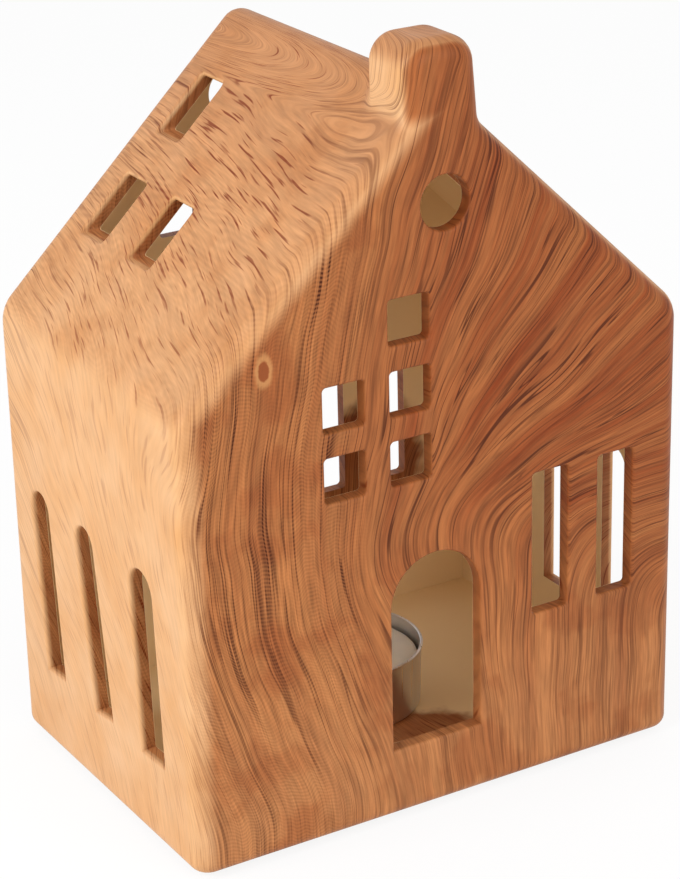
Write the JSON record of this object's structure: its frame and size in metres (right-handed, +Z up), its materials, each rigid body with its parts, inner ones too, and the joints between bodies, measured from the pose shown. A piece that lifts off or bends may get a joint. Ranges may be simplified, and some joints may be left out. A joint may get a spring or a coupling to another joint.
{
  "type": "tealight house",
  "caption": "Gabled ceramic house lantern with a wood-grain print, cut-out windows, a front door and a chimney, lit by a tealight that slides in through an arch in the back.",
  "frame": {"origin": "on the table, under the middle of the house", "axes": "+Z up, -Y out of the front with the door and chimney, +X to the right seen from the front"},
  "size_m": [0.13, 0.09, 0.1811],
  "materials": {
    "printed_ceramic": "satin, wood-grain water-transfer print outside, plain tan glaze inside",
    "bright_aluminium": "bright rolled foil",
    "candle_wax": "paraffin wax, slightly translucent",
    "cotton_wick": "waxed braided cotton",
    "tinned_steel": "tinned",
    "felt": "pressed felt"
  },
  "bodies": {
    "house": {"house_shell": "printed_ceramic", "felt_pad_front_left": "felt", "felt_pad_front_right": "felt", "felt_pad_rear_left": "felt", "felt_pad_rear_right": "felt"},
    "cup": {"tealight_cup": "bright_aluminium"},
    "candle": {"tealight_wax": "candle_wax", "tealight_wick": "cotton_wick", "wick_sustainer": "tinned_steel"}
  },
  "joints": [
    {"name": "tealight_slide", "type": "slide", "parent": "house", "child": "cup", "axis": [0, 1, 0], "range_m": [0, 0.07]},
    {"name": "wax_lift", "type": "slide", "parent": "cup", "child": "candle", "axis": [0, 0, 1], "range_m": [0, 0.018]}
  ]
}
